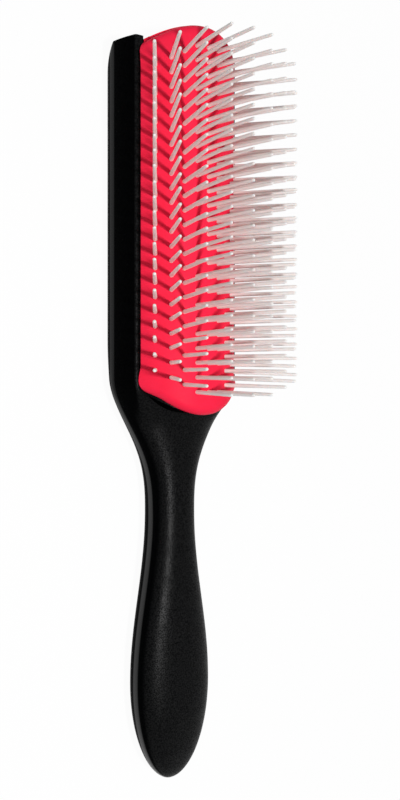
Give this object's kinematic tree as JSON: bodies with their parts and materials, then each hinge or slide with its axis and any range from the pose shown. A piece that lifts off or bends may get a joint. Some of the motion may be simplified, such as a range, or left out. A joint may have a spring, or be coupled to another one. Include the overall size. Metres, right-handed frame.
{
  "type": "styling brush",
  "caption": "Hand styling brush: slim moulded handle and channelled head, a half-round rubber pad that slides in from the tip, and fanned rows of nylon pins.",
  "frame": {"origin": "middle of the footprint, on the plane that the brush's back rests on", "axes": "+Y along the brush from the handle's end to the tip of the head, +Z the way the pins point, +X across"},
  "size_m": [0.055, 0.235, 0.0496],
  "materials": {
    "black_moulding": "black moulded plastic, satin back and sides, fine grain on the front of the handle",
    "red_rubber": "smooth bright red natural rubber, soft sheen",
    "white_nylon": "translucent white nylon, smooth, rounded pin ends"
  },
  "bodies": {
    "handle": {"handle_body": "black_moulding"},
    "pad": {"rubber_pad": "red_rubber", "pin_row_1": "white_nylon", "pin_row_2": "white_nylon", "pin_row_3": "white_nylon", "pin_row_4": "white_nylon", "pin_row_5": "white_nylon", "pin_row_6": "white_nylon", "pin_row_7": "white_nylon", "pin_row_8": "white_nylon", "pin_row_9": "white_nylon"}
  },
  "joints": [
    {"name": "pad_slide", "type": "slide", "parent": "handle", "child": "pad", "axis": [0, 1, 0], "range_m": [0, 0.12]}
  ]
}
